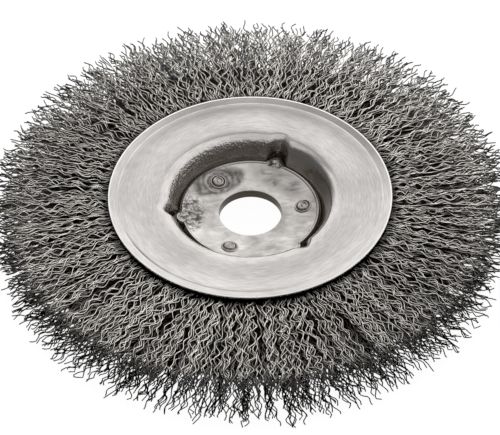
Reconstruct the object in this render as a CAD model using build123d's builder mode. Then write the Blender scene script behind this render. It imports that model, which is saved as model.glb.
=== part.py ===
from build123d import *
import math
import os
import random

# Wire wheel brush, lying flat. Crimped steel wires are folded round a hoop and gripped between two
# pressed side plates, which a hub disc on each side and three rivets hold together.
# Millimetres. The origin is the middle of the bore, and +Z runs along the bore.

# Bore and hub discs
bore_radius = 11.1          # fits a 22.2 mm arbor flange
seat_width = 4.4            # of the flat clamping seat round the bore
disc_sheet = 0.85           # thickness of a hub disc
disc_margin = 1.2           # from a hub disc's edge to the foot of the recess wall
lug_count = 3
lug_angle = 68.6            # degrees, where the first lug and the first wall notch stand
lug_radius = 2.6
lug_reach = 2.0             # how far a lug stands out of the disc's edge

# Side plates, given on the middle of the sheet
plate_sheet = 0.8
dish_width = 9.9            # of the dished floor, from the seat to the foot of the recess wall
dish_rise = 2.0             # how far the floor climbs over that width
wall_spread = 4.2           # how far the recess wall leans outward on its way up
face_height = 10.0          # middle of the sheet above the mid-plane, on the plate's flat face
rim_radius = 49.85
rim_band = 2.9              # width of the band outside the ring pressed into the plate near its rim
rim_groove = 0.2            # depth of that ring
groove_run = 0.5            # over which the face falls to it
rim_flare = 0.1             # how far the rim's edge stands above the face, clear of the wires
foot_bend = 1.3             # bend radii; the seat's edge and the ring's are plain creases
shoulder_bend = 4.1

# Notches pressed into the recess wall, one beside each lug
notch_radius = 3.3
notch_setback = 1.0         # how far a notch's axis stays inside the wall's top edge

# Rivets
rivet_count = 3
rivet_angle = 6.8           # degrees, the first rivet
rivet_margin = 0.25         # from a rivet's head to the edge of the seat
rivet_shank = 2.0           # radii
rivet_head = 3.05
rivet_button = 1.75
rivet_head_height = 0.45
rivet_button_height = 0.25
rivet_clearance = 0.03

# Hoop inside the wires
hoop_wire = 2.0             # radius of the hoop's own wire
hoop_clearance = 0.03
channel_sides = 8           # the wires bend round the hoop in flats

# Wires
bundle_count = 24
bundle_gap = 0.12           # space between neighbours
inner_clearance = 0.9       # from the wires' folded end to the outside of the notches
fold_depth = 1.56           # wire between that folded end and the hoop
tuft_count = 3              # tufts that a bundle splits into past the rim
tip_radius = 88.2
tip_spread = 2.3            # how far tips run over or stop short
crimp_pitch = 7.4           # length of one full wave of the crimped wire
crimp_depth = 1.0           # how far a wave swings to each side
tuft_gap = 0.75             # space between tufts at the rim
tuft_flare = 0.03           # how much wider that space gets for each millimetre outward
tip_notch = 4.0             # depth of the cleft in a tuft's end
tip_taper = 0.72            # how far apart a tuft's two tips stand, as a share of its width
tuft_fall = 0.6             # how far a tuft falls away to its sides, for each millimetre of width
tip_half_height = 8.4       # ridge of the lowest tuft, above and below the mid-plane
scatter_seed = 21

# What follows from those sizes, from the bore outward
plate_half = plate_sheet / 2
floor_start = plate_half    # the two plates meet on the mid-plane at the seat
seat_radius = bore_radius + seat_width
seat_slope = math.atan2(dish_rise, dish_width)
rivet_circle = seat_radius + rivet_margin + rivet_head
wall_foot_radius = seat_radius + dish_width
wall_top_radius = wall_foot_radius + wall_spread
disc_radius = wall_foot_radius - disc_margin
notch_floor = floor_start + dish_rise
notch_top_radius = wall_top_radius - notch_setback
notch_skin = plate_sheet * 1.05
fold_radius = notch_top_radius + notch_radius + notch_skin + inner_clearance
hoop_radius = fold_radius + fold_depth + hoop_wire
groove_radius = rim_radius - rim_band
overrun = 1                 # how far a cutting outline runs past what it cuts

# The sheet line of a plate, from the bore to the rim: corners and the bend at each
plate_corners = [
    (bore_radius, floor_start),
    (seat_radius, floor_start),
    (wall_foot_radius, floor_start + dish_rise),
    (wall_top_radius, face_height),
    (groove_radius - groove_run, face_height),
    (groove_radius, face_height - rim_groove),
    (rim_radius, face_height + rim_flare),
]
plate_bends = [0, foot_bend, shoulder_bend, 0, 0]


def turn_at(before, corner, after):
    """Angle by which a line turns at a corner, positive to the left."""
    arriving = math.atan2(corner[1] - before[1], corner[0] - before[0])
    leaving = math.atan2(after[1] - corner[1], after[0] - corner[0])
    return leaving - arriving


def shifted(corners, bends, distance):
    """The same line moved to its left, with the bends still concentric and the creases sharp."""
    moved = [(corners[0][0], corners[0][1] + distance)]
    radii = []
    for before, corner, after, bend in zip(corners, corners[1:], corners[2:], bends):
        turn = turn_at(before, corner, after)
        arriving = math.atan2(corner[1] - before[1], corner[0] - before[0])
        reach = distance / math.cos(turn / 2)
        across = arriving + turn / 2 + math.pi / 2
        moved.append((corner[0] + reach * math.cos(across), corner[1] + reach * math.sin(across)))
        radii.append(bend - math.copysign(distance, turn) if bend else 0)
    last, end = corners[-2], corners[-1]
    leaving = math.atan2(end[1] - last[1], end[0] - last[0])
    moved.append((end[0] - distance * math.sin(leaving), end[1] + distance * math.cos(leaving)))
    return moved, radii


# The wires reach up to the underside of the pressed ring, where they are gripped
grip_half = shifted(plate_corners, plate_bends, -plate_half)[0][-2][1]


def polar(radius, degrees):
    return radius * math.cos(math.radians(degrees)), radius * math.sin(math.radians(degrees))


def sheet_section(corners, bends, low, high):
    """Section of a bent sheet, between two lines parallel to the one given."""
    low_corners, low_bends = shifted(corners, bends, low)
    high_corners, high_bends = shifted(corners, bends, high)
    with BuildSketch(Plane.XZ) as section:
        with BuildLine():
            lower = FilletPolyline(*low_corners, radius=low_bends)
            upper = FilletPolyline(*high_corners, radius=high_bends)
            Line(lower @ 0, upper @ 0)
            Line(lower @ 1, upper @ 1)
        make_face()
    return section.sketch


os.makedirs("parts", exist_ok=True)

# Hub disc: nests on the dished floor of its plate, with three lugs that reach into the notches
disc_reach = disc_radius + lug_reach + overrun
disc_corners = [
    (bore_radius, floor_start),
    (seat_radius, floor_start),
    (disc_reach, floor_start + (disc_reach - seat_radius) * math.tan(seat_slope)),
]
with BuildPart() as front_hub_disc:
    revolve(sheet_section(disc_corners, [0], plate_half, plate_half + disc_sheet), axis=Axis.Z)
    with BuildSketch():
        Circle(disc_radius)
        with PolarLocations(disc_radius + lug_reach - lug_radius, lug_count, start_angle=lug_angle):
            Circle(lug_radius)
    extrude(amount=face_height, mode=Mode.INTERSECT)
    with BuildSketch():
        with PolarLocations(rivet_circle, rivet_count, start_angle=rivet_angle):
            Circle(rivet_shank + rivet_clearance)
    extrude(amount=face_height, mode=Mode.SUBTRACT)

# Side plate: a dished sheet, whose notches keep the sheet's thickness
notch_lean = (notch_top_radius - wall_foot_radius) / (face_height + plate_half - notch_floor)
with BuildPart() as front_plate:
    revolve(sheet_section(plate_corners, plate_bends, -plate_half, plate_half), axis=Axis.Z)
    for step in range(lug_count):
        angle = lug_angle + 360 * step / lug_count
        along = Vector(*polar(notch_lean, angle), 1).normalized()
        with BuildSketch(Plane.XY.offset(notch_floor - plate_sheet)):
            with Locations(polar(wall_foot_radius, angle)):
                Circle(notch_radius + notch_skin)
        extrude(amount=face_height / along.Z, dir=along)
    # The hollow above the sheet: whatever of the notches stands in it is pressed away
    with BuildSketch(Plane.XZ):
        with BuildLine():
            seen_corners, seen_bends = shifted(plate_corners, plate_bends, plate_half)
            seen = FilletPolyline(*seen_corners, radius=seen_bends)
            Polyline(
                seen @ 1,
                (rim_radius + overrun, (seen @ 1).Y),
                (rim_radius + overrun, 2 * face_height),
                (bore_radius - overrun, 2 * face_height),
                (bore_radius - overrun, (seen @ 0).Y),
                seen @ 0,
            )
        make_face()
    revolve(axis=Axis.Z, mode=Mode.SUBTRACT)
    for step in range(lug_count):
        angle = lug_angle + 360 * step / lug_count
        along = Vector(*polar(notch_lean, angle), 1).normalized()
        with BuildSketch(Plane.XY.offset(notch_floor)):
            with Locations(polar(wall_foot_radius, angle)):
                Circle(notch_radius)
        extrude(amount=face_height / along.Z, dir=along, mode=Mode.SUBTRACT)
    with BuildSketch():
        with PolarLocations(rivet_circle, rivet_count, start_angle=rivet_angle):
            Circle(rivet_shank + rivet_clearance)
    extrude(amount=face_height, mode=Mode.SUBTRACT)

with BuildPart() as back_plate:
    mirror(front_plate.part, about=Plane.XY)
with BuildPart() as back_hub_disc:
    mirror(front_hub_disc.part, about=Plane.XY)

for name, piece in (
    ("front_plate", front_plate),
    ("back_plate", back_plate),
    ("front_hub_disc", front_hub_disc),
    ("back_hub_disc", back_hub_disc),
):
    piece.part.label = name
    export_step(piece.part, f"parts/{name}.step")

# Rivets: a straight shank, and on each side a low head that lies on the slope of the disc. The
# slope curves up beside the head, so the head is lifted until its edge just rests on it.
disc_top = (
    floor_start
    + (rivet_circle - seat_radius) * math.tan(seat_slope)
    + (plate_half + disc_sheet) / math.cos(seat_slope)
)
head_lift = rivet_head**2 * math.sin(seat_slope) / 2 / (rivet_circle - rivet_head)
for index in range(rivet_count):
    angle = rivet_angle + 360 * index / rivet_count
    head_plane = Plane(
        origin=(*polar(rivet_circle, angle), disc_top),
        x_dir=(*polar(math.cos(seat_slope), angle), math.sin(seat_slope)),
        z_dir=(*polar(-math.sin(seat_slope), angle), math.cos(seat_slope)),
    )
    with BuildPart() as rivet:
        with BuildSketch(head_plane.offset(head_lift)):
            Circle(rivet_head)
        extrude(amount=rivet_head_height)
        with BuildSketch(head_plane.offset(head_lift)):
            Circle(rivet_button)
        extrude(amount=rivet_head_height + rivet_button_height)
        with BuildSketch():
            with Locations(polar(rivet_circle, angle)):
                Circle(rivet_shank)
        extrude(amount=disc_top + head_lift)
        mirror(about=Plane.XY)
    name = f"rivet_{index + 1}"
    rivet.part.label = name
    export_step(rivet.part, f"parts/{name}.step")

# Hoop: the ring that every wire is folded round
with BuildPart() as hoop:
    with BuildSketch(Plane.XZ):
        with Locations((hoop_radius, 0)):
            Circle(hoop_wire)
    revolve(axis=Axis.Z)
hoop.part.label = "anchor_hoop"
export_step(hoop.part, "parts/anchor_hoop.step")


# Wires: bundles folded round the hoop, gripped between the plates and fanning out in crimped tufts
def tuft_outline(middle, half_angle, tip_left, tip_right, phase):
    """Outline of a tuft: two zigzag sides that swing together, and an end with a cleft."""
    cleft = min(tip_left, tip_right) - tip_notch
    radius = rim_radius - overrun
    swing = crimp_depth * phase
    left, right = [], []
    while radius < cleft:
        half_width = half_angle - math.degrees((tuft_gap + tuft_flare * (radius - rim_radius)) / 2 / radius)
        offset = math.degrees(swing / radius)
        left.append(polar(radius, middle + offset + half_width))
        right.append(polar(radius, middle + offset - half_width))
        swing = -swing
        radius += crimp_pitch / 2
    tips = [
        polar(tip_right, middle - tip_taper * half_width),
        polar(cleft, middle),
        polar(tip_left, middle + tip_taper * half_width),
    ]
    return right + tips + left[::-1]


def make_tuft(middle, half_angle, phase, scatter):
    """One tuft: its outline extruded both ways, with a ridge along the middle above and below."""
    tips = [tip_radius + scatter.uniform(-tip_spread, tip_spread) for _ in range(2)]
    ridge = scatter.uniform(tip_half_height, grip_half)
    half_width = tip_radius * math.sin(math.radians(half_angle))
    eaves = ridge - half_width * tuft_fall
    inside_rim = rim_radius - 2 * overrun
    across = Plane(
        origin=(*polar(inside_rim, middle), 0),
        x_dir=(*polar(1, middle + 90), 0),
        z_dir=(*polar(1, middle), 0),
    )
    with BuildPart() as tuft:
        with BuildSketch():
            with BuildLine():
                Polyline(*tuft_outline(middle, half_angle, tips[0], tips[1], phase), close=True)
            make_face()
        extrude(amount=ridge, both=True)
        with BuildSketch(across):
            with BuildLine():
                Polyline(
                    (0, ridge),
                    (half_width, eaves),
                    (half_width, -eaves),
                    (0, -ridge),
                    (-half_width, -eaves),
                    (-half_width, eaves),
                    close=True,
                )
            make_face()
        extrude(amount=max(tips) - inside_rim + overrun, mode=Mode.INTERSECT)
    return tuft.part


def make_bundle(index, scatter):
    """One bundle of wires as one solid: the folded root and the tufts."""
    middle = 360 * index / bundle_count
    half = 180 / bundle_count
    side_inner = half - math.degrees(bundle_gap / 2 / fold_radius)
    side_outer = half - math.degrees(bundle_gap / 2 / rim_radius)
    swing_room = math.degrees(crimp_depth / rim_radius)
    tuft_half = (side_outer - swing_room) / tuft_count
    phase = scatter.choice((-1, 1))
    tufts = [
        make_tuft(middle + tuft_half * (2 * tuft - tuft_count + 1), tuft_half, phase, scatter)
        for tuft in range(tuft_count)
    ]
    # The channel is straight where the hoop curves, so it is as much wider as the hoop bows
    bow = hoop_radius * (1 - math.cos(math.radians(half)))
    channel = hoop_wire + hoop_clearance + bow / 2
    across_hoop = Plane(
        origin=(*polar(hoop_radius - bow / 2, middle), 0),
        x_dir=(*polar(1, middle), 0),
        z_dir=(*polar(1, middle + 90), 0),
    )
    with BuildPart() as bundle:
        with BuildSketch():
            with BuildLine():
                Polyline(
                    polar(fold_radius, middle - side_inner),
                    polar(rim_radius, middle - side_outer),
                    polar(rim_radius, middle + side_outer),
                    polar(fold_radius, middle + side_inner),
                    close=True,
                )
            make_face()
        extrude(amount=grip_half, both=True)
        add(tufts)
        with BuildSketch(across_hoop):
            RegularPolygon(channel, channel_sides, major_radius=False, rotation=180 / channel_sides)
        extrude(amount=(hoop_radius + channel) * math.tan(math.radians(half)), both=True, mode=Mode.SUBTRACT)
    return bundle


scatter = random.Random(scatter_seed)
for index in range(bundle_count):
    bundle = make_bundle(index, scatter)
    name = f"wire_bundle_{index + 1:02d}"
    bundle.part.label = name
    export_step(bundle.part, f"parts/{name}.step")
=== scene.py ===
from math import ceil, cos, pi, radians, sin, sqrt, tan

import bmesh
import bpy
import numpy as np
from mathutils import Matrix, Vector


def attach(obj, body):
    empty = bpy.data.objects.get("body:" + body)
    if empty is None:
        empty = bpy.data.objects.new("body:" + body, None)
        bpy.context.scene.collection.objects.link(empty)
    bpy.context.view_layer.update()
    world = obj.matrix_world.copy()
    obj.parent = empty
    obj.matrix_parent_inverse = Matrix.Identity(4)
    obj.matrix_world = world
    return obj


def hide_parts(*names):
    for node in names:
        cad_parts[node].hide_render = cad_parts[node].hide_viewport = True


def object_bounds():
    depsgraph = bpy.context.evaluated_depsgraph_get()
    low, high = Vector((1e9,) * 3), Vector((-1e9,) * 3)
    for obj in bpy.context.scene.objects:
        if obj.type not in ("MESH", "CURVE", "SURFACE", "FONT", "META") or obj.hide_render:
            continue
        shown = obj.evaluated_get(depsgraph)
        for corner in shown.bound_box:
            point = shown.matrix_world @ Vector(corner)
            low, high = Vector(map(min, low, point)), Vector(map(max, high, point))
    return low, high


# Wire wheel brush, lying flat. Sizes of pieces are in millimetres and turn to metres in makePiece; lengths
# in materials are in metres, as shaders take them.

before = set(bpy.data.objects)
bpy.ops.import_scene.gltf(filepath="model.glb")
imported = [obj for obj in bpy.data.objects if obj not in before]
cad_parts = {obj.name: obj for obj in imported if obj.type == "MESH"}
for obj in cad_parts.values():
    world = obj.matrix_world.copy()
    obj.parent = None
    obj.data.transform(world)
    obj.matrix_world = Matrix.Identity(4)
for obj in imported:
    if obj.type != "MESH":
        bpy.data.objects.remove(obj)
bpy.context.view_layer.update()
mm = 0.001
weldDistance = 0.001        # points nearer to each other than this, in mm, become one
tiny = 1e-9                 # keeps a vector of no length from dividing by nothing


# Mesh helpers

def unit(vectors):
    # Every vector divided by its own length
    return vectors / np.linalg.norm(vectors, axis=-1, keepdims=True)


def smooth(value, low, high):
    # 0 below low, 1 above high, and 3t^2 - 2t^3 between them
    t = np.clip((value - low) / (high - low), 0, 1)
    return t * t * (3 - 2 * t)


def makePiece(name, points, faceSets, material, attributes=None, merge=False):
    # A mesh from whole arrays: points in mm, and each face set as rows of point numbers
    mesh = bpy.data.meshes.new(name)
    mesh.vertices.add(len(points))
    mesh.vertices.foreach_set("co", (points * mm).ravel().astype(np.float32))
    sizes = np.concatenate([np.full(len(faces), faces.shape[1]) for faces in faceSets])
    mesh.loops.add(int(sizes.sum()))
    corners = np.concatenate([faces.ravel() for faces in faceSets])
    mesh.loops.foreach_set("vertex_index", corners.astype(np.int32))
    mesh.polygons.add(len(sizes))
    mesh.polygons.foreach_set("loop_start", (np.cumsum(sizes) - sizes).astype(np.int32))
    mesh.polygons.foreach_set("use_smooth", np.ones(len(sizes), bool))
    for key, values in (attributes or {}).items():
        mesh.attributes.new(key, "FLOAT", "POINT").data.foreach_set("value", values.astype(np.float32))
    mesh.update(calc_edges=True)
    if merge:                       # closes the pole of a turned shape
        work = bmesh.new()
        work.from_mesh(mesh)
        bmesh.ops.remove_doubles(work, verts=work.verts, dist=weldDistance * mm)
        work.to_mesh(mesh)
        work.free()
    mesh.materials.append(material)
    piece = bpy.data.objects.new(name, mesh)
    bpy.context.scene.collection.objects.link(piece)
    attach(piece, "root")
    return piece


def gridQuads(rows, columns, closeRows=False):
    # Quads of a grid whose columns run round and close; its rows close too where asked
    row, column = np.mgrid[0:rows if closeRows else rows - 1, 0:columns]
    nextRow, nextColumn = (row + 1) % rows, (column + 1) % columns
    quads = [row * columns + column, nextRow * columns + column,
             nextRow * columns + nextColumn, row * columns + nextColumn]
    return np.stack(quads, axis=-1).reshape(-1, 4)


def offsetLine(corners, distance):
    # The same line moved to its left: each corner moves along its mitre
    corners = np.array(corners, float)
    run = unit(np.diff(corners, axis=0))
    before, after = np.vstack([run[:1], run]), np.vstack([run, run[-1:]])
    mitre = unit(before + after)
    reach = distance / np.sum(mitre * after, axis=1, keepdims=True)
    return corners + np.stack([-mitre[:, 1], mitre[:, 0]], axis=1) * reach


def roundedLoop(corners, bends, spacing, bendStep=radians(9)):
    # A closed outline: an arc of its own radius at each corner, and straight runs divided at the spacing
    corners = np.array(corners, float)
    arriving = unit(corners - np.roll(corners, 1, axis=0))
    leaving = unit(np.roll(corners, -1, axis=0) - corners)
    turns = np.arctan2(arriving[:, 0] * leaving[:, 1] - arriving[:, 1] * leaving[:, 0],
                       np.sum(arriving * leaving, axis=1))
    arcs = []
    for corner, along, turn, bend in zip(corners, arriving, turns, bends):
        start = corner - along * bend * tan(abs(turn) / 2)
        side = np.array([-along[1], along[0]]) * bend * np.sign(turn)
        angle = turn * np.linspace(0, 1, max(2, ceil(abs(turn) / bendStep)) + 1)[:, None]
        arcs.append(start + side - side * np.cos(angle) + along * bend * np.sin(np.abs(angle)))
    outline = []
    for arc, following in zip(arcs, arcs[1:] + arcs[:1]):
        gap = np.linalg.norm(following[0] - arc[-1])
        steps = max(1, round(gap / spacing))
        share = np.linspace(0, 1, steps + 1)[1:-1, None]
        outline += [arc, arc[-1] + (following[0] - arc[-1]) * share]
    return np.vstack(outline)


def evenAngles(count):
    # All round the bore
    return np.linspace(0, 2 * pi, count, endpoint=False)[None, :]


def turned(radius, height, angle):
    # A point at that radius, height and angle round the bore
    return np.stack([radius * np.cos(angle), radius * np.sin(angle), height + 0 * angle], axis=-1)


def awayFrom(angle, middles):
    # Smallest turn, in radians, from an angle to any of the middles
    turn = (angle[..., None] - np.radians(middles) + pi) % (2 * pi) - pi
    return np.abs(turn).min(axis=-1)


# Materials

def linear(hexColour):
    # sRGB hex to the linear colour that a shader takes
    parts = [int(hexColour[i:i + 2], 16) / 255 for i in (1, 3, 5)]
    return tuple(c / 12.92 if c <= 0.04045 else ((c + 0.055) / 1.055) ** 2.4 for c in parts) + (1,)


def newMaterial(name):
    material = bpy.data.materials.new(name)
    material.use_nodes = True
    material.node_tree.nodes.clear()
    return material


def addNode(owner, kind, inputs=None, out=0, **settings):
    # One node with its settings; an input that is a socket is linked, and a value is set. Mixes mix colours.
    tree = owner.node_tree
    node = tree.nodes.new("ShaderNode" + kind)
    if kind == "Mix":
        out, settings = 2, {"data_type": "RGBA"}
    for key, value in settings.items():
        setattr(node, key, value)
    for key, value in (inputs or {}).items():
        if isinstance(value, bpy.types.NodeSocket):
            tree.links.new(value, node.inputs[key])
        else:
            node.inputs[key].default_value = value
    return node.outputs[out] if len(node.outputs) else node


def steelShader(material, colour, roughness, normal=None):
    # Bare steel: all metal, so its colour is its reflection
    inputs = {"Base Color": colour, "Metallic": 1.0, "Roughness": roughness}
    if normal is not None:
        inputs["Normal"] = normal
    shader = addNode(material, "BsdfPrincipled", inputs)
    addNode(material, "OutputMaterial", {"Surface": shader})


def polarCoords(material):
    # The point, its distance from the bore's middle, and its heading from there
    place = addNode(material, "TexCoord", out="Object")
    flat = addNode(material, "VectorMath", {0: place, 1: (1, 1, 0)}, operation="MULTIPLY")
    radius = addNode(material, "VectorMath", {0: flat}, out="Value", operation="LENGTH")
    heading = addNode(material, "VectorMath", {0: flat}, operation="NORMALIZE")
    return place, radius, heading


patch = {
    "height": 3.2,          # of a patch's middle, in mm
    "halfHeight": 3,
    "push": 0.7,            # how far the clouds push its edge about, in parts of its half size
    "edge": 1.35,           # where the pushed edge lies, in the same parts
}


def patchMask(material, place, clouds, middle, size, turn, softness):
    # 1 inside an oval patch of the top side, falling to 0 at its ragged edge; sizes in mm, turn in degrees
    sunk = addNode(material, "Mapping", {
        "Vector": place, "Location": (middle[0] * mm, middle[1] * mm, patch["height"] * mm),
        "Rotation": (0, 0, radians(turn)), "Scale": (size[0] * mm, size[1] * mm, patch["halfHeight"] * mm)},
        vector_type="TEXTURE")
    away = addNode(material, "VectorMath", {0: sunk}, out="Value", operation="LENGTH")
    edge = addNode(material, "Math", {0: clouds, 1: patch["push"], 2: away}, operation="MULTIPLY_ADD")
    return addNode(material, "MapRange", {
        "Value": edge, "From Min": patch["edge"] + softness / 2, "From Max": patch["edge"] - softness / 2},
        interpolation_type="SMOOTHSTEP")


# Pressed sheet steel, bright and satin from the press tool: soft rings of brushing, a grainy stretched
# skin where the recess wall bends over, painted shade in streaks down the recess wall, darker on its left,
# painted shade in the gutter at its foot and in the bore, and a painted highlight on the rim's edge
def pressedSteel():
    material = newMaterial("pressedSteel")
    place, radius, heading = polarCoords(material)
    spread = addNode(material, "VectorMath", {0: heading, 1: (0.004, 0.004, 0)}, operation="MULTIPLY")
    rings = addNode(material, "CombineXYZ", {"Z": radius})
    brushing = addNode(material, "VectorMath", {0: spread, 1: rings}, operation="ADD")
    lines = addNode(material, "TexNoise", {"Vector": brushing, "Scale": 2600.0, "Detail": 3.0})
    clouds = addNode(material, "TexNoise", {"Vector": place, "Scale": 55.0, "Detail": 4.0})
    waves = addNode(material, "TexNoise", {"Vector": place, "Scale": 150.0, "Detail": 1.0})
    grain = addNode(material, "TexNoise", {"Vector": place, "Scale": 1200.0, "Detail": 2.0})
    rise = addNode(material, "SeparateXYZ", {"Vector": place}, out=2)
    height = addNode(material, "Math", {0: rise}, operation="ABSOLUTE")
    bending = addNode(material, "MapRange", {"Value": height, "From Min": 0.0101, "From Max": 0.009})
    walling = addNode(material, "MapRange", {"Value": height, "From Min": 0.0042, "From Max": 0.0072})
    stretched = addNode(material, "Math", {0: bending, 1: walling}, operation="MULTIPLY")
    toRight = addNode(material, "SeparateXYZ", {"Vector": heading}, out=0)
    # Painted shade on the recess wall: full on the left side and faint on the right; the same factor sets the
    # grain
    leftShadeAndGrain = addNode(material, "MapRange", {
        "Value": toRight, "From Min": 0.55, "From Max": 0.2, "To Min": 0.12})
    stretched = addNode(material, "Math", {0: stretched, 1: leftShadeAndGrain}, operation="MULTIPLY")
    # Painted shade down in the recess: below the shoulder the sheet takes the darker, streaked wall colour
    recessShade = addNode(material, "MapRange", {"Value": height, "From Min": 0.0097, "From Max": 0.0076})
    # Painted shade in the gutter at the foot of the recess wall
    gutterShade = addNode(material, "MapRange", {"Value": height, "From Min": 0.0034, "From Max": 0.0029})
    layered = addNode(material, "CombineXYZ", {"Z": height})
    streaky = addNode(material, "VectorMath", {0: spread, 1: layered}, operation="ADD")
    drawn = addNode(material, "TexNoise", {"Vector": streaky, "Scale": 1500.0, "Detail": 2.0})
    satin = addNode(material, "Math", {0: clouds, 1: lines}, operation="ADD")
    satin = addNode(material, "MapRange", {"Value": satin, "From Min": 0.7, "From Max": 1.3})
    bright = addNode(material, "Mix", {"Factor": satin, "A": linear("#dad7d5"), "B": linear("#bdb9b6")})
    streakedShade = addNode(material, "Math", {0: drawn, 1: leftShadeAndGrain}, operation="MULTIPLY")
    wall = addNode(material, "Mix", {"Factor": streakedShade, "A": linear("#c4bdb6"), "B": linear("#655e58")})
    lower = addNode(material, "Mix", {"Factor": recessShade, "A": bright, "B": wall})
    # A painted highlight: the rim's outer edge turns near white
    rimHighlight = addNode(material, "MapRange", {"Value": radius, "From Min": 0.0494, "From Max": 0.0496})
    lower = addNode(material, "Mix", {"Factor": rimHighlight, "A": lower, "B": linear("#f5f3f1")})
    # Painted shade in the bore; it takes the same dark brown as the gutter
    boreShade = addNode(material, "MapRange", {"Value": radius, "From Min": 0.01135, "From Max": 0.01118})
    paintedShade = addNode(material, "Math", {0: gutterShade, 1: boreShade}, operation="MAXIMUM")
    colour = addNode(material, "Mix", {"Factor": paintedShade, "A": lower, "B": linear("#4d463f")})
    roughness = addNode(material, "MapRange", {"Value": lines, "To Min": 0.1, "To Max": 0.24})
    broad = addNode(material, "Bump", {"Height": waves, "Strength": 0.35, "Distance": 0.0001})
    fine = addNode(material, "Bump", {
        "Height": lines, "Strength": 0.25, "Distance": 0.00002, "Normal": broad})
    grainy = addNode(material, "Math", {0: grain, 1: stretched}, operation="MULTIPLY")
    normal = addNode(material, "Bump", {
        "Height": grainy, "Strength": 1.0, "Distance": 0.0005, "Normal": fine})
    steelShader(material, colour, roughness, normal)
    return material


# Satin sheet steel of the hub disc, rubbed by clamping nuts: cloudy scuffs, fine scratches, smears of dark
# grease, a browned patch round one rivet and spatter by two of the lugs, with painted shade along its right
# edge and in the bore
marks = {
    # middle x and y, half length and half width, turn of the long way, softness of the edge
    "browned": ((-11.4, 14.8), (9.0, 5.0), 26, 0.7),
    "spatter": ((-20.8, -0.6), (7.4, 5.2), 90, 0.6),
    "lugSpatter": ((9.9, 23.6), (4.4, 3.0), -20, 0.4),
    "smears": ((11.0, 14.6), (11.0, 4.2), -38, 1.1),
    # painted shade along the disc's right edge, beside the first rivet
    "shade": ((23.2, 1.5), (9.0, 2.6), 90, 1.0),
}
heatRings = {
    "middle": (-0.01126, 0.01505, 0.0026),    # of the second rivet's head
    "turns": 3300.0,        # radians of the rings' sine to a metre
    "wobble": 5.0,          # how many of them the speckle adds
    "between": 0.62,        # how brown it is halfway between a ring and a gap
}


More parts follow.
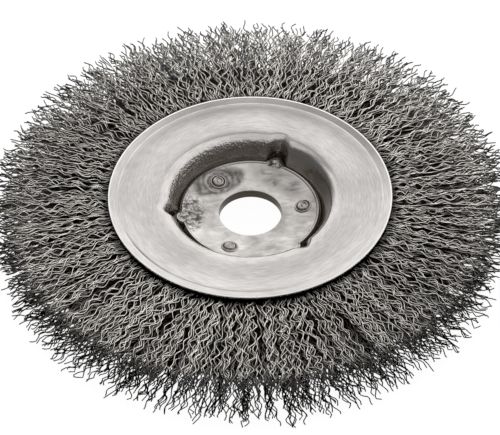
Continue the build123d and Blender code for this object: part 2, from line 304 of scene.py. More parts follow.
def scuffedSteel():
    material = newMaterial("scuffedSteel")
    place, radius, _ = polarCoords(material)
    clouds = addNode(material, "TexNoise", {"Vector": place, "Scale": 140.0, "Detail": 4.0})
    turnedPlace = addNode(material, "Mapping", {
        "Vector": place, "Rotation": (0, 0, 0.3), "Scale": (1, 2.2, 1)})
    scratches = addNode(material, "TexNoise", {
        "Vector": turnedPlace, "Scale": 170.0, "Detail": 6.0, "Roughness": 0.65, "Distortion": 1.1})
    speckle = addNode(material, "TexNoise", {"Vector": place, "Scale": 640.0, "Detail": 2.0})
    jog = addNode(material, "TexNoise", {"Vector": place, "Scale": 700.0, "Detail": 2.0}, out=1)
    jogged = addNode(material, "VectorMath", {
        0: jog, 1: (0.0011, 0.0011, 0.0011), 2: place}, operation="MULTIPLY_ADD")
    drops = addNode(material, "TexVoronoi", {"Vector": jogged, "Scale": 720.0})
    browned, fieldSpatter, lugSpatter, smears, shade = [
        patchMask(material, place, clouds, *mark) for mark in marks.values()]
    spatter = addNode(material, "Math", {0: fieldSpatter, 1: lugSpatter}, operation="MAXIMUM")
    blendFactor = addNode(material, "Math", {0: clouds, 1: scratches}, operation="ADD")
    blendFactor = addNode(material, "MapRange", {"Value": blendFactor, "From Min": 0.75, "From Max": 1.25})
    base = addNode(material, "Mix", {"Factor": blendFactor, "A": linear("#e3e0dd"), "B": linear("#aca7a3")})
    streaks = addNode(material, "MapRange", {
        "Value": scratches, "From Min": 0.4, "From Max": 0.6, "To Min": 0.75, "To Max": 0.0})
    smeared = addNode(material, "Math", {0: smears, 1: streaks}, operation="MULTIPLY")
    greasy = addNode(material, "Mix", {"Factor": smeared, "A": base, "B": linear("#57504b")})
    # Heat rings round the rivet: the sine of the distance from its middle, darkest at the patch's outline
    away = addNode(material, "VectorMath", {
        0: place, 1: heatRings["middle"]}, out="Value", operation="DISTANCE")
    wobble = addNode(material, "Math", {0: speckle, 1: heatRings["wobble"]}, operation="MULTIPLY")
    turns = addNode(material, "Math", {0: away, 1: heatRings["turns"], 2: wobble}, operation="MULTIPLY_ADD")
    rings = addNode(material, "Math", {0: turns}, operation="SINE")
    fading = addNode(material, "MapRange", {
        "Value": away, "From Min": 0.004, "From Max": 0.0065, "To Min": 0.24, "To Max": 0.08})
    patchy = addNode(material, "Math", {
        0: rings, 1: fading, 2: heatRings["between"]}, operation="MULTIPLY_ADD")
    outlined = addNode(material, "Math", {0: browned, 1: 0.5}, operation="PINGPONG")
    heated = addNode(material, "Math", {0: browned, 1: patchy, 2: outlined}, operation="MULTIPLY_ADD")
    dotted = addNode(material, "MapRange", {
        "Value": speckle, "From Min": 0.4, "From Max": 0.62, "To Min": 1.0, "To Max": 0.72})
    heated = addNode(material, "Math", {0: heated, 1: dotted}, operation="MULTIPLY", use_clamp=True)
    brown = addNode(material, "Mix", {"Factor": heated, "A": greasy, "B": linear("#1f1915")})
    # Painted shade along the disc's right edge
    shaded = addNode(material, "Math", {0: shade, 1: 0.15}, operation="MULTIPLY")
    edgeShaded = addNode(material, "Mix", {"Factor": shaded, "A": brown, "B": linear("#4d4743")})
    pits = addNode(material, "MapRange", {"Value": drops, "From Min": 0.38, "From Max": 0.8, "To Max": 0.85})
    pitted = addNode(material, "Math", {0: spatter, 1: pits}, operation="MULTIPLY")
    pocked = addNode(material, "Mix", {"Factor": pitted, "A": edgeShaded, "B": linear("#3f3935")})
    # Painted shade in the bore
    boreShade = addNode(material, "MapRange", {"Value": radius, "From Min": 0.01125, "From Max": 0.01112})
    colour = addNode(material, "Mix", {"Factor": boreShade, "A": pocked, "B": linear("#4d463f")})
    roughness = addNode(material, "MapRange", {"Value": clouds, "To Min": 0.28, "To Max": 0.5})
    fine = addNode(material, "Bump", {"Height": scratches, "Strength": 0.35, "Distance": 0.00008})
    lumpy = addNode(material, "Math", {0: drops, 1: spatter}, operation="MULTIPLY")
    beads = addNode(material, "Bump", {
        "Height": lumpy, "Strength": 0.9, "Distance": 0.0009, "Normal": fine}, invert=True)
    rough = addNode(material, "Math", {0: speckle, 1: browned}, operation="MULTIPLY")
    normal = addNode(material, "Bump", {
        "Height": rough, "Strength": 0.6, "Distance": 0.0004, "Normal": beads})
    steelShader(material, colour, roughness, normal)
    return material


# Steel of the rivets, bare and lightly browned where it was pressed hot, with painted shade down in its rings
def rivetSteel():
    material = newMaterial("rivetSteel")
    place = addNode(material, "TexCoord", out="Object")
    clouds = addNode(material, "TexNoise", {"Vector": place, "Scale": 420.0, "Detail": 3.0})
    bare = addNode(material, "Mix", {"Factor": clouds, "A": linear("#d8d3cf"), "B": linear("#908881")})
    # Painted shade down in the head's rings, from a point attribute
    ringShade = addNode(material, "Attribute", out="Fac", attribute_name="ringShade")
    colour = addNode(material, "Mix", {"Factor": ringShade, "A": bare, "B": linear("#2e2824")})
    roughness = addNode(material, "MapRange", {"Value": clouds, "To Min": 0.16, "To Max": 0.36})
    normal = addNode(material, "Bump", {"Height": clouds, "Strength": 0.5, "Distance": 0.0001})
    steelShader(material, colour, roughness, normal)
    return material


# Crimped high-carbon steel wire, drawn and oily: a painted highlight along its crown, painted shade near
# black on its flanks, and through its tone painted shade down in the pack
def crimpedWireSteel():
    material = newMaterial("crimpedWireSteel")
    tone = addNode(material, "Attribute", out="Fac", attribute_name="tone")
    ridge = addNode(material, "Attribute", out="Fac", attribute_name="ridge")
    # Painted highlight on the crown, from the ridge corner, and painted shade on the flanks
    crownHighlight = addNode(material, "MapRange", {
        "Value": ridge, "From Min": 0.32, "From Max": 0.6}, interpolation_type="SMOOTHSTEP")
    blendFactor = addNode(material, "Math", {0: tone, 1: crownHighlight}, operation="MULTIPLY")
    colour = addNode(material, "Mix", {"Factor": blendFactor, "A": linear("#1a130d"), "B": linear("#fbf6ef")})
    place = addNode(material, "TexCoord", out="Object")
    film = addNode(material, "TexNoise", {"Vector": place, "Scale": 300.0, "Detail": 2.0})
    roughness = addNode(material, "MapRange", {"Value": film, "To Min": 0.08, "To Max": 0.2})
    steelShader(material, colour, roughness)
    return material


# The inside of the wire pack, painted near black as the shade between wires that lie close, with faint
# strands
def packedWireSteel():
    material = newMaterial("packedWireSteel")
    _, radius, heading = polarCoords(material)
    fan = addNode(material, "VectorMath", {0: heading, 1: (0.09, 0.09, 0)}, operation="MULTIPLY")
    outward = addNode(material, "CombineXYZ", {"Z": radius})
    along = addNode(material, "VectorMath", {0: fan, 1: outward}, operation="ADD")
    strands = addNode(material, "TexNoise", {"Vector": along, "Scale": 900.0, "Detail": 2.0})
    colour = addNode(material, "Mix", {"Factor": strands, "A": linear("#060504"), "B": linear("#1e1915")})
    normal = addNode(material, "Bump", {"Height": strands, "Strength": 1.0, "Distance": 0.0006})
    steelShader(material, colour, 0.5, normal)
    return material


# Drawn wire of the hoop, seen only where a wire parts
def drawnSteel():
    material = newMaterial("drawnSteel")
    place = addNode(material, "TexCoord", out="Object")
    film = addNode(material, "TexNoise", {"Vector": place, "Scale": 500.0, "Detail": 2.0})
    colour = addNode(material, "Mix", {"Factor": film, "A": linear("#8d8780"), "B": linear("#5d5750")})
    steelShader(material, colour, 0.35)
    return material


sheetMaterial = pressedSteel()
discMaterial = scuffedSteel()
rivetMaterial = rivetSteel()
wireMaterial = crimpedWireSteel()
packMaterial = packedWireSteel()
hoopMaterial = drawnSteel()
for name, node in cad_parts.items():
    dress = (sheetMaterial if "plate" in name else discMaterial if "disc" in name else
             rivetMaterial if "rivet" in name else hoopMaterial if "hoop" in name else wireMaterial)
    node.data.materials.clear()
    node.data.materials.append(dress)
print("materials made")


# Side plates: a dished sheet with a deep recess, three notches pressed into its wall, and a ring near its rim
plate = {
    "sheet": 0.8,
    "bore": 11.1,
    "seat": 15.5,           # edge of the flat seat
    "foot": 25.4,           # foot of the recess wall
    "dishRise": 2.0,
    "top": 29.6,            # top of the recess wall
    "face": 10.0,           # middle of the sheet on the flat face
    "groove": 46.95,        # the pressed ring
    "grooveRun": 0.5,
    "grooveDepth": 0.24,
    "rim": 49.85,
    "rimOver": 0.2,         # how far its edge stands out past that
    "rimFlare": 0.14,       # how far the rim's edge stands above the face
    "rimLand": 0.55,        # width of its flat edge
    "seatBend": 12,
    "footBend": 1.3,
    "shoulderBend": 4.1,
    "edge": 0.16,           # rounding of cut edges
    "landBend": 0.1,
    "rimEdge": 0.14,        # rounding of the rim's upper edge
    "bowDepth": 3,          # bow and sag move only what lies less than this below the face
    "bowStart": 39.5,       # outside it the face climbs a little, up to the pressed ring
    "bowRise": 0.28,
    "sagStart": 36.5,       # inside it the face sinks a little, down to the shoulder
    "sagDrop": 0.03,
    "notchMiddles": (68.6, 188.6, 308.6),
    "notchHalf": 4.6,       # half the width of a notch
    "notchFoot": 3.3,       # how far it pushes the wall out at the foot
    "notchTop": 1.6,        # and at the face
    "notchFrom": (4, 0.3),  # inside the foot: where the push starts and where it is full
    "notchTo": (0.8, 4.4),  # outside the top: where it starts to fade and where it ends
    "spacing": 1.8,         # between points along its section
    "columns": 360,         # and the points round the bore
    "backColumns": 216,     # the hidden side is plainer
}


def plateOutline(p):
    # Section of the sheet: the line of its middle moved half a sheet up and half a sheet down
    half = p["sheet"] / 2
    middle = [
        (p["bore"], half), (p["seat"], half), (p["foot"], half + p["dishRise"]), (p["top"], p["face"]),
        (p["groove"] - p["grooveRun"], p["face"]), (p["groove"], p["face"] - p["grooveDepth"]),
        (p["rim"] + p["rimOver"] - p["rimLand"], p["face"] + p["rimFlare"]),
        (p["rim"] + p["rimOver"], p["face"] + p["rimFlare"]),
    ]
    over, under = offsetLine(middle, half), offsetLine(middle, -half)
    edge, seat, foot, shoulder = p["edge"], p["seatBend"], p["footBend"], p["shoulderBend"]
    overBends = [edge, seat, foot - half, shoulder + half, edge, edge, p["landBend"], p["rimEdge"]]
    underBends = [edge, seat, foot + half, shoulder - half, edge, edge, p["landBend"], edge]
    outline = roundedLoop(np.vstack([over, under[::-1]]), overBends + underBends[::-1], p["spacing"])
    # The face's slight bow: a square of the way out to the ring, less a square of the way in to the shoulder
    outward = np.clip((outline[:, 0] - p["bowStart"]) / (p["groove"] - p["bowStart"]), 0, 1)
    inward = np.clip((p["sagStart"] - outline[:, 0]) / (p["sagStart"] - p["top"]), 0, 1)
    raised = outline[:, 1] > p["face"] - p["bowDepth"]
    outline[:, 1] += (p["bowRise"] * outward ** 2 - p["sagDrop"] * inward ** 2) * raised
    return outline


def pressedNotches(p, radius, height, angle):
    # Moves the wall outward by a raised cosine across each notch, deepest at the foot of the wall
    across = awayFrom(angle, p["notchMiddles"]) * radius / p["notchHalf"]
    swell = 0.5 + 0.5 * np.cos(pi * np.clip(across, 0, 1))
    climb = np.clip((height - p["dishRise"] - p["sheet"]) / (p["face"] - p["dishRise"]), 0, 1)
    depth = p["notchFoot"] + (p["notchTop"] - p["notchFoot"]) * climb
    start, full = p["notchFrom"]
    fading, end = p["notchTo"]
    reach = smooth(radius, p["foot"] - start, p["foot"] - full)
    reach = reach * (1 - smooth(radius, p["top"] + fading, p["top"] + end))
    return radius + swell * depth * reach


def makePlate(name, side, columns):
    outline = plateOutline(plate)
    angle = evenAngles(columns)
    radius, height = outline[:, :1], outline[:, 1:]
    radius = pressedNotches(plate, radius, height, angle)
    points = turned(radius, height, angle) * (1, 1, side)
    quads = gridQuads(len(outline), columns, closeRows=True)
    piece = makePiece(name + "Sheet", points.reshape(-1, 3), [quads[:, ::side]], sheetMaterial)
    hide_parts(name)


makePlate("front_plate", 1, plate["columns"])
makePlate("back_plate", -1, plate["backColumns"])
print("plates made")


# Hub discs: lie on the dished floor, with three lugs that reach into the notches
disc = {
    "sheet": 0.85,
    "radius": 24.2,
    "lug": 2.6,             # radius of a lug
    "lugReach": 2.0,        # how far it stands out of the edge
    "lugFrom": (4, 0.4),    # inside the edge: where the stretch to the lugs starts and where it is full
    "edge": 0.16,
    "underEdge": 0.6,       # rounding of the lower edges, as part of the upper one's
    "burr": 0.26,           # how far the edge is turned up
    "burrWidth": 0.8,
    "burrTop": 0.45,        # width of its flat top
    "burrDip": 0.03,        # how much lower the inner side of that top is
    "burrCut": (0.05, 0.15),    # how far in and down its outer corner is cut
    "burrBends": (0.3, 0.12, 0.05, 0.08),
    "spacing": 1.6,
    "columns": 360,
    "backColumns": 200,
}


def discEdge(d, angle):
    # Radius of the disc's edge: a circle, or the far side of a lug's own circle where that is further out
    turn = awayFrom(angle, plate["notchMiddles"])
    middle = d["radius"] + d["lugReach"] - d["lug"]
    inside = np.clip(d["lug"] ** 2 - (middle * np.sin(turn)) ** 2, 0, None)
    lug = np.where(inside > 0, middle * np.cos(turn) + np.sqrt(inside), 0)
    return np.maximum(lug, d["radius"])


def makeDisc(name, side, columns):
    # Section between the plate's floor and one sheet above it; the outer part stretches to the edge
    slope = plate["dishRise"] / (plate["foot"] - plate["seat"])
    base = plate["sheet"]
    middle = [(plate["bore"], base), (plate["seat"], base),
              (disc["radius"], base + slope * (disc["radius"] - plate["seat"]))]
    over = offsetLine(middle, disc["sheet"])
    edge = disc["edge"]
    underEdge = edge * disc["underEdge"]
    top = middle[2][1] + disc["sheet"]
    cutIn, cutDown = disc["burrCut"]
    burr = [(disc["radius"] - disc["burrWidth"], top - slope * disc["burrWidth"]),
            (disc["radius"] - disc["burrTop"], top + disc["burr"] - disc["burrDip"]),
            (disc["radius"] - cutIn, top + disc["burr"]), (disc["radius"], top + disc["burr"] - cutDown)]
    corners = np.vstack([over[:2], burr, middle[::-1]])
    bends = [edge, plate["seatBend"], *disc["burrBends"], underEdge, plate["seatBend"], underEdge]
    outline = roundedLoop(corners, bends, disc["spacing"])
    angle = evenAngles(columns)
    radius, height = outline[:, :1], outline[:, 1:]
    start, full = disc["lugFrom"]
    stretch = smooth(radius, disc["radius"] - start, disc["radius"] - full)
    grown = (discEdge(disc, angle) - disc["radius"]) * stretch
    points = turned(radius + grown, height + slope * grown, angle) * (1, 1, side)
    quads = gridQuads(len(outline), columns, closeRows=True)
    piece = makePiece(name + "Sheet", points.reshape(-1, 3), [quads[:, ::side]], discMaterial)
    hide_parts(name)


makeDisc("front_hub_disc", 1, disc["columns"])
makeDisc("back_hub_disc", -1, disc["backColumns"])
print("hub discs made")


# Rivets: a flattened head with rings round a small pip, on both sides of the stack
rivet = {
    "count": 3,
    "circle": 18.8,         # radius of the circle that they stand on
    "firstAngle": 6.8,
    "shank": 2.0,           # radius of the shank
    "shankPast": 0.1,       # how far it goes on past the middle of the stack
    "lift": 0.06,           # height of the head's zero over the disc
    # radius and height of the head's rings, from the middle outward
    "rings": ((0, 0.7), (0.35, 0.66), (0.7, 0.34), (1.1, 0.4), (1.5, 0.82), (1.8, 0.78), (2.05, 0.3),
              (2.3, 0.14), (2.6, 0.4), (2.85, 0.36), (3.05, 0.1), (3.05, -0.08)),
    "ringSteps": 4,         # points from one of them to the next
    "ringShade": 0.97,          # the most of it, up to the first height; it is gone at the second
    "ringShadeHeights": (0.2, 0.42),
    "ringShadeRadius": 2.9,     # outside it the head has no painted shade
    "columns": 48,
}


def makeRivet(index):
    slope = np.arctan(plate["dishRise"] / (plate["foot"] - plate["seat"]))
    top = (plate["sheet"] + (rivet["circle"] - plate["seat"]) * tan(slope)) + disc["sheet"] / cos(slope)
    rings = np.array(rivet["rings"])
    steps = np.linspace(0, len(rings) - 1, rivet["ringSteps"] * (len(rings) - 1) + 1)
    radius = np.interp(steps, np.arange(len(rings)), rings[:, 0])
    height = np.interp(steps, np.arange(len(rings)), rings[:, 1])
    kernel = np.array([1, 2, 3, 2, 1]) / 9    # rounds the rings' corners
    height[2:-2] = np.convolve(height, kernel, "valid")
    radius = np.append(radius, [rivet["shank"], rivet["shank"]])
    height = np.append(height, [rings[-1, 1], -top - rivet["shankPast"]])
    angle = evenAngles(rivet["columns"])
    head = turned(radius[:, None], height[:, None], angle)
    # Tilted with the slope of the disc, then carried out to its circle and turned to its place
    around = radians(rivet["firstAngle"] + 360 / rivet["count"] * index)
    tilt = np.array(Matrix.Rotation(-slope, 3, "Y"))
    place = np.array(Matrix.Rotation(around, 3, "Z"))
    front = (head.reshape(-1, 3) @ tilt.T + (rivet["circle"], 0, top + rivet["lift"])) @ place.T
    quads = gridQuads(len(radius), rivet["columns"])
    points = np.vstack([front, front * (1, 1, -1)])
    faces = np.vstack([quads, quads[:, ::-1] + len(front)])
    name = f"rivet_{index + 1}"
    # Painted shade down in the head's lower rings
    ringShade = rivet["ringShade"] * (1 - smooth(height, *rivet["ringShadeHeights"])) * (radius < rivet["ringShadeRadius"])
    ringShade = np.tile(np.repeat(ringShade, rivet["columns"]), 2)
    piece = makePiece(name + "Head", points, [faces], rivetMaterial, {"ringShade": ringShade}, merge=True)
    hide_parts(name)


for index in range(rivet["count"]):
    makeRivet(index)
print("rivets made")


# Crimped wires, folded round the hoop and fanning out past the rim
wire = {
    "gauge": 0.4,           # thickness
    "wave": 7.2,            # one full wave of the crimp
    "waveParts": ((0.8, 1.2), (0.97, 1.03)),    # of that, drawn for a group and for each wire in it
    "shortestWave": 0.78,   # the least that they make together
    "swing": 0.95,          # how far a wave goes to each side
    "swingParts": ((0.6, 1.25), (0.88, 1.12)),
    "held": (0.45, 0.55),   # the part of it that stays between the plates, and the part that the rest adds
    "loose": (-1, 3.2),     # past the rim: where wires start to work loose and where they are free
    "roll": (50, 15),       # most degrees that a group, and a wire in it, is rolled
    "tip": 86.6,            # where wires end, on average
    "tipSpread": 2.7,
    "tipByLayer": (2, 1),   # further out by the first times the place in the thickness, less the second
    "tipShort": 9,          # no wire ends more than this inside the usual tip
    "tipMost": 92.6,
    "rootRadius": 45.5,     # wires start out of sight under the rim
    "fillRadius": 66,       # and those that only fill the outer part start here
    "rootHeight": 8.7,      # the highest wire between the plates
    "tipHeight": 8.9,       # the highest wire at the tips
    "growth": 1.1,          # where that stops growing, in parts of the way from root to tip
    "heightMost": 10.7,
    "climb": 0.6,           # most that a wire climbs or sinks on its way out
    "layerSpread": 0.03,    # share of the thickness that a wire lies off its group
    "apart": 0.95,          # space between neighbours that were crimped and laid in step
    "apartAt": 66,          # at this radius
    "groupJog": 0.3,        # most that a group stands off its even place, in parts of the step
    "sway": ((4, 0.025, 1.0), (9, 0.01, 4.0), (17, 0.005, 2.2)),    # waves round the wheel of the shared lean
    "lean": (0.03, 0.06),   # spread of the lean of a group and of a wire
    "strays": 0.14,         # share of wires that lean across the others or stand out past them
    "strayLean": 0.45,
    "strayPast": 7,
    # slow sines along a wire: least and most size, then least and most length over 2 pi
    "slip": ((0.1, 0.8), (3, 7)),           # in the phase of a group's waves
    "groupBend": ((0.1, 0.6), (4, 8)),      # to the side, of a group and of a wire
    "ownBend": ((0.1, 0.6), (2.5, 5)),
    "fade": (0.3, (2, 5)),                  # in the swing, all of this size
    "phases": 6.3,          # they start anywhere in a full turn
    "leastStep": 0.08,      # the last step is dropped where less of it than this is left
    # painted light and shade of its tone
    "dark": (0.04, 0.96),   # out of the light, and what full light adds
    "topDepths": (0.9, 0.15),    # from this far under the pack's face to this far over it light comes in
    "outerLight": 0.28,     # light on lower wires in the outer part
    "outerRadii": (68, 77),
    "endDark": 0.05,        # light on bare ends
    "endFrom": (4, 2),      # from this far inside the usual tip to this far past it
    "rimShade": (0.15, 0.85),    # light beside the rim, and what the open adds
    "rimReach": (0.3, 5),   # past the rim: where it starts to grow and where it is full
    "patchy": 0.5,          # how much brighter and darker a wire gets along its length
    "patchLengths": (0.7, 2.2),
    "bright": (1.08, 0.2),  # a wire's own brightness and its spread
    "brightLimits": (0.15, 1.9),
    "seed": 11,
}
chance = np.random.default_rng(wire["seed"])


def layWires(count, rootRadius, lowShare, highShare, together, perWave):
    # Centre lines of a batch of wires. Each is a cosine wave along a radius, with perWave points to a wave
    # and a slowly changing phase and swing, rolled about that radius, and carried aside by the lean that
    # neighbours share, by its own lean and by slow sines.
    # lowShare to highShare is where they lie in the thickness, and together is how many lie in step.
    groups = ceil(count / together)
    group = np.arange(count) // together
    member = np.arange(count) % together - (together - 1) / 2

    def perGroup(low, high):
        return chance.uniform(low, high, groups)[group]

    def perWire(low, high):
        return chance.uniform(low, high, count)

    def slowSine(draw, lengths):
        # A sine along the radius with a drawn length and phase
        return np.sin(radius / draw(*lengths)[:, None] + draw(0, wire["phases"])[:, None])

    def sizedSine(draw, sizes, lengths):
        return draw(*sizes)[:, None] * slowSine(draw, lengths)

    stray = chance.random(count) < wire["strays"]
    ofGroup, ofWire = wire["waveParts"]
    length = wire["wave"] * perGroup(*ofGroup) * perWire(*ofWire)
    ofGroup, ofWire = wire["swingParts"]
    swing = wire["swing"] * perGroup(*ofGroup) * perWire(*ofWire)
    ofGroup, ofWire = wire["roll"]
    roll = np.radians(perGroup(-ofGroup, ofGroup) + perWire(-ofWire, ofWire))
    jog = chance.uniform(-wire["groupJog"], wire["groupJog"], groups)
    around = 2 * pi / groups * (np.arange(groups) + jog)[group]
    lean = sum(size * np.sin(turns * around + phase) for turns, size, phase in wire["sway"])
    ofGroup, ofWire = wire["lean"]
    lean += (chance.normal(0, ofGroup, groups)[group] + chance.normal(0, ofWire, count)
             + stray * perWire(-wire["strayLean"], wire["strayLean"]))
    layer = perGroup(lowShare, highShare) + perWire(-wire["layerSpread"], wire["layerSpread"])
    outer, inner = wire["tipByLayer"]
    tip = (wire["tip"] + outer * np.abs(layer) - inner + chance.normal(0, wire["tipSpread"], count)
           + stray * perWire(0, wire["strayPast"]))
    tip = np.clip(tip, wire["tip"] - wire["tipShort"], wire["tipMost"])
    start = rootRadius - wire["wave"] * perGroup(0, 1)

    # Steps enough for the shortest wave to reach the furthest tip
    reach = wire["tipMost"] - rootRadius + wire["wave"]
    steps = ceil(reach / (wire["wave"] * wire["shortestWave"]) * perWave) + 1
    number = np.arange(steps)
    radius = start[:, None] + length[:, None] * number / perWave
    inside, past = wire["loose"]
    out = smooth(radius, plate["rim"] + inside, plate["rim"] + past)
    slip = sizedSine(perGroup, *wire["slip"])
    size, lengths = wire["fade"]
    fade = 1 + size * slowSine(perWire, lengths)
    flat = swing[:, None] * fade * np.cos(2 * pi * number / perWave + slip)
    held, freed = wire["held"]
    across = flat * np.cos(roll)[:, None] * (held + freed * out)
    rise = flat * np.sin(roll)[:, None] * out
    shared = sizedSine(perGroup, *wire["groupBend"])
    own = sizedSine(perWire, *wire["ownBend"])
    drift = (radius - plate["rim"]) * lean[:, None] * out
    inStep = (member * wire["apart"] / wire["apartAt"])[:, None]
    turn = around[:, None] + (across + (shared + own) * out + drift) / radius + inStep
    share = np.clip((radius - wire["rootRadius"]) / (wire["tip"] - wire["rootRadius"]), 0, wire["growth"])
    thick = wire["rootHeight"] + (wire["tipHeight"] - wire["rootHeight"]) * share
    height = layer[:, None] * thick + rise + out * perWire(-wire["climb"], wire["climb"])[:, None] * share
    height = np.clip(height, -wire["heightMost"], wire["heightMost"])
    line = np.stack([radius * np.cos(turn), radius * np.sin(turn), height], axis=-1)

    # A wire's tone: its own brightness and patchy along it, with painted shade falling to near black where it
    # lies under others, close beside the rim and at its bare end, and painted light on top and on lower wires
    # at the pack's outer face.
    under, over = wire["topDepths"]
    onTop = smooth(np.abs(height), thick - under, thick + over)
    lit = np.maximum(onTop, wire["outerLight"] * smooth(radius, *wire["outerRadii"]))
    inside, past = wire["endFrom"]
    bare = smooth(radius, wire["tip"] - inside, wire["tip"] + past)
    beside, opened = wire["rimShade"]
    near, far = wire["rimReach"]
    shade = beside + opened * smooth(radius, plate["rim"] + near, plate["rim"] + far)
    patchy = wire["patchy"] * slowSine(perWire, wire["patchLengths"])
    bright = np.clip(chance.normal(*wire["bright"], count)[:, None] + patchy, *wire["brightLimits"])
    dark, light = wire["dark"]
    tone = bright * shade * (dark + light * (lit + (wire["endDark"] - lit) * bare))

    # Cut each wire at its tip: the step that crosses it is shortened, and the steps past it are dropped
    span = radius[:, 1:] - radius[:, :-1]
    share = np.clip((tip[:, None] - radius[:, :-1]) / span, 0, 1)
    move = (line[:, 1:] - line[:, :-1]) * share[..., None]
    used = share > wire["leastStep"]
    line[:, 1:] = line[:, :-1] + move
    return line, used, tone


def wireTubes(line, used, tone):
    # A three-sided tube along every centre line: a ring of three corners at each point, one of them on the
    # side that faces out of the pack
    step = np.where(used[..., None], unit(line[:, 1:] - line[:, :-1] + tiny), 0)
    heading = np.zeros_like(line)
    heading[:, :-1] += step
    heading[:, 1:] += step
    heading = unit(heading + (0, 0, tiny))
    # Wires that lie in the lowest quarter of the thickness face down
    facing = np.where(line[:, :1, 2:] < -0.5 * wire["rootHeight"], -1, 1)
    side = unit(np.cross(heading, (0, 0, 1)) + tiny) * facing
    upward = np.cross(side, heading)
    reach = wire["gauge"] / sqrt(3)    # a triangle as wide as the wire is thick
    corners = np.radians([90, 210, 330])
    ring = side[:, :, None] * np.cos(corners)[:, None] + upward[:, :, None] * np.sin(corners)[:, None]
    points = line[:, :, None] + ring * reach
    wires, steps = used.shape
    first = np.arange(wires * (steps + 1)).reshape(wires, steps + 1) * 3
    here, there = first[:, :-1][used], first[:, 1:][used]
    walls = [np.stack([here + a, here + b, there + b, there + a], axis=-1)
             for a, b in ((0, 1), (1, 2), (2, 0))]
    last = first[np.arange(wires), used.sum(axis=1)]
    caps = [np.stack([first[:, 0] + 2, first[:, 0] + 1, first[:, 0]], axis=-1),
            np.stack([last, last + 1, last + 2], axis=-1)]
    shade = np.repeat(tone[:, :, None], 3, axis=2)
    # ridge is 1 on the corner that faces out, where the material paints the highlight, and 0 on the two it
    # paints dark
    ridge = np.broadcast_to([1.0, 0, 0], shade.shape)
    return points.reshape(-1, 3), np.vstack(walls), np.vstack(caps), shade.ravel(), ridge.ravel()


def joinUsed(parts):
    # Several tube sets in one, without the points that no face uses
    points = np.vstack([part[0] for part in parts])
    starts = np.cumsum([0] + [len(part[0]) for part in parts[:-1]])
    walls = np.vstack([part[1] + start for part, start in zip(parts, starts)])
    caps = np.vstack([part[2] + start for part, start in zip(parts, starts)])
    shade, ridge = [np.concatenate([part[index] for part in parts]) for index in (3, 4)]
    kept = np.zeros(len(points), bool)
    kept[walls.ravel()] = True
    number = np.cumsum(kept) - 1
    return points[kept], number[walls], number[caps], {"tone": shade[kept], "ridge": ridge[kept]}


batches = [
    # count, root radius, lowest and highest place in the thickness, wires in step, points to a wave
    (540, wire["rootRadius"], 0.98, 1.05, 2, 7),
    (400, wire["rootRadius"], 0.88, 0.98, 2, 7),
    (400, wire["rootRadius"], 0.76, 0.92, 2, 6),
    (480, wire["rootRadius"], 0.5, 0.76, 2, 4),
    (480, wire["rootRadius"], -1.03, -0.85, 3, 5),
    (320, wire["rootRadius"], -0.88, -0.55, 2, 4),
    (1100, wire["fillRadius"], -0.95, 0.95, 1, 6),
]
made = [layWires(*batch) for batch in batches]
print("wires laid:", sum(len(tone) for line, used, tone in made))

bundles = sorted(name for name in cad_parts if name.startswith("wire_bundle"))
for number, name in enumerate(bundles):
    parts = []
    for line, used, tone in made:
        turn = np.arctan2(line[:, 0, 1], line[:, 0, 0]) * len(bundles) / (2 * pi)
        mine = np.round(turn).astype(int) % len(bundles) == number
        parts.append(wireTubes(line[mine], used[mine], tone[mine]))
    points, walls, caps, attributes = joinUsed(parts)
    piece = makePiece(name + "_wires", points, [walls, caps], wireMaterial, attributes)
    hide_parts(name)
print("wire bundles made")


# The imported middle of the wires: a ring that thins outward, too dense to see through, in near black painted
# shade
pack = {
    # radius and height of its outline, upper half
    "outline": ((41.5, 0), (41.5, 7.2), (48, 6.6), (56, 5.4), (66, 3.8), (73, 2.0), (76, 0.9), (77, 0)),
    "columns": 240,
}


def makePack():
    upper = np.array(pack["outline"], float)
    outline = np.vstack([upper[:1], upper[1:-1], upper[-1:], upper[-2:0:-1] * (1, -1)])
    angle = evenAngles(pack["columns"])
    points = turned(outline[:, :1], outline[:, 1:], angle)
    quads = gridQuads(len(outline), pack["columns"], closeRows=True)
    piece = makePiece("packedWires", points.reshape(-1, 3), [quads], packMaterial)


makePack()
print("packed wires made")


# Floor, world and camera
floorLook = {
    "half": 4.0,            # half the length of its side, in metres
    "glow": 0.93,           # its own light as the camera and the metal see it
    "matt": (0.12, 0.12, 0.12, 1),
    "plain": (0.8, 0.8, 0.8, 1),    # as everything else sees it
}


def makeFloor():
    size, height = floorLook["half"], float(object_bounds()[0][2])
    material = newMaterial("paleFloor")
    path = addNode(material, "LightPath").node
    glow = addNode(material, "Emission", {"Color": (1, 1, 1, 1), "Strength": floorLook["glow"]})
    matt = addNode(material, "BsdfDiffuse", {"Color": floorLook["matt"]})
    both = addNode(material, "AddShader", {0: glow, 1: matt})
    plain = addNode(material, "BsdfDiffuse", {"Color": floorLook["plain"]})
    clear = addNode(material, "Math", {
        0: path.outputs["Is Camera Ray"], 1: path.outputs["Is Transmission Ray"]}, operation="MAXIMUM")
    clear = addNode(material, "Math", {0: clear, 1: path.outputs["Is Glossy Ray"]}, operation="MAXIMUM")
    seen = addNode(material, "MixShader", {"Fac": clear, 1: plain, 2: both})
    addNode(material, "OutputMaterial", {"Surface": seen})
    mesh = bpy.data.meshes.new("floor")
    corners = [(-size, -size, height), (size, -size, height), (size, size, height), (-size, size, height)]
    mesh.from_pydata(corners, [], [(0, 1, 2, 3)])
    mesh.materials.append(material)
    floor = bpy.data.objects.new("floor", mesh)
    bpy.context.scene.collection.objects.link(floor)


makeFloor()

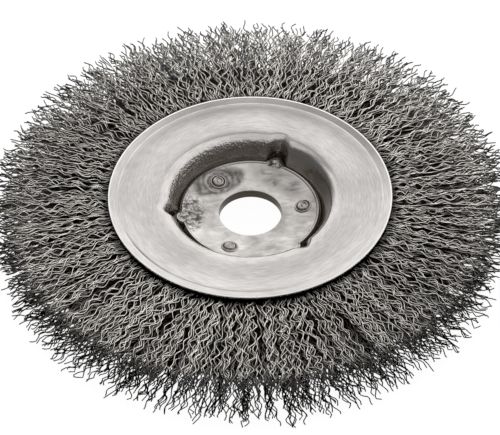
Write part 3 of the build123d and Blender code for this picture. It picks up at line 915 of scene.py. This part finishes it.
studio = {
    # the level that metal sees; X is to the right, Y away from the camera and Z up, all parts of a heading
    "lowest": 0.13,
    # part of the heading, where the level is nothing, where it is full, and that level
    "ramps": {
        "wall": ("Z", 0.81, 0.68, 1.12),        # the white wall behind the brush
        "wallNear": ("Y", 0.0, 0.4, 1.0),
        "wallLeft": ("X", -0.85, -0.45, 1.0),
        "rightSide": ("X", 0.0, 0.16, 1.0),
        "rightNear": ("Y", -0.35, 0.1, 1.0),
        "ceiling": ("Z", 0.72, 0.92, 0.7),
        "ceilingLeft": ("X", -0.9, -0.5, 1.0),
        "aboveFloor": ("Z", -0.1, 0.1, 1.0),
    },
    "lamp": 0.45,           # a soft box high on the right
    "lampHeading": (0.68, -0.26, 0.69),
    "lampReach": (25, 12),  # degrees from its middle where it starts and where it is full
    "softLight": 0.9,       # the same level for everything else
}


def makeWorld():
    world = bpy.data.worlds.new("studio")
    world.use_nodes = True
    world.node_tree.nodes.clear()
    bpy.context.scene.world = world
    heading = addNode(world, "TexCoord", out="Generated")
    split = addNode(world, "SeparateXYZ", {0: heading}).node.outputs
    ramps = {}
    for name, (part, start, full, level) in studio["ramps"].items():
        ramps[name] = addNode(world, "MapRange", {
            "Value": split[part], "From Min": start, "From Max": full, "To Max": level},
            interpolation_type="SMOOTHSTEP")
    wall = addNode(world, "Math", {0: ramps["wall"], 1: ramps["wallNear"]}, operation="MULTIPLY")
    wall = addNode(world, "Math", {0: wall, 1: ramps["wallLeft"]}, operation="MULTIPLY")
    right = addNode(world, "Math", {0: ramps["rightSide"], 1: ramps["rightNear"]}, operation="MULTIPLY")
    ceiling = addNode(world, "Math", {0: ramps["ceiling"], 1: ramps["ceilingLeft"]}, operation="MULTIPLY")
    toLamp = tuple(unit(np.array(studio["lampHeading"])))
    facing = addNode(world, "VectorMath", {0: heading, 1: toLamp}, out="Value", operation="DOT_PRODUCT")
    start, full = [cos(radians(reach)) for reach in studio["lampReach"]]
    lamp = addNode(world, "MapRange", {
        "Value": facing, "From Min": start, "From Max": full, "To Max": studio["lamp"]},
        interpolation_type="SMOOTHSTEP")
    sides = addNode(world, "Math", {0: wall, 1: right}, operation="MAXIMUM")
    room = addNode(world, "Math", {0: sides, 1: ceiling}, operation="MAXIMUM")
    lit = addNode(world, "Math", {0: room, 1: lamp}, operation="ADD")
    level = addNode(world, "Math", {
        0: lit, 1: ramps["aboveFloor"], 2: studio["lowest"]}, operation="MULTIPLY_ADD")
    gloss = addNode(world, "Background", {"Color": (1, 1, 1, 1), "Strength": level})
    white = addNode(world, "Background", {"Color": (1, 1, 1, 1), "Strength": 1.0})
    soft = addNode(world, "Background", {"Color": (1, 1, 1, 1), "Strength": studio["softLight"]})
    path = addNode(world, "LightPath").node.outputs
    shown = addNode(world, "MixShader", {"Fac": path["Is Glossy Ray"], 1: soft, 2: gloss})
    clear = addNode(world, "Math", {
        0: path["Is Camera Ray"], 1: path["Is Transmission Ray"]}, operation="MAXIMUM")
    seen = addNode(world, "MixShader", {"Fac": clear, 1: shown, 2: white})
    addNode(world, "OutputWorld", {"Surface": seen})


makeWorld()

view = {
    "elevation": 45.39,     # degrees, looking along +Y and down
    "roll": -0.83,
    "distance": 1298.3,     # from the middle of the brush
    "right": -0.15,         # and how far it stands to the side and up in its own picture
    "up": -0.52,
    "pixels": 3665.8,       # focal length, in pixels of a picture this wide
    "width": 500,
    "sensor": 36,
}


def makeCamera():
    camera = bpy.data.cameras.new("camera")
    camera.sensor_fit = "HORIZONTAL"
    camera.sensor_width = view["sensor"]
    camera.lens = view["pixels"] * camera.sensor_width / view["width"]
    tilt = radians(view["elevation"])
    forward = np.array([0, cos(tilt), -sin(tilt)])
    right, up = np.array([1.0, 0, 0]), np.array([0, sin(tilt), cos(tilt)])
    place = -forward * view["distance"] + right * view["right"] + up * view["up"]
    roll = radians(view["roll"])
    axes = np.eye(4)
    axes[:3, 0] = cos(roll) * right + sin(roll) * up
    axes[:3, 1] = -sin(roll) * right + cos(roll) * up
    axes[:3, 2] = -forward
    axes[:3, 3] = place * mm
    holder = bpy.data.objects.new("camera", camera)
    holder.matrix_world = Matrix(axes.tolist())
    bpy.context.scene.collection.objects.link(holder)
    bpy.context.scene.camera = holder


makeCamera()
bpy.context.scene.view_settings.view_transform = "Standard"

print("scene made")
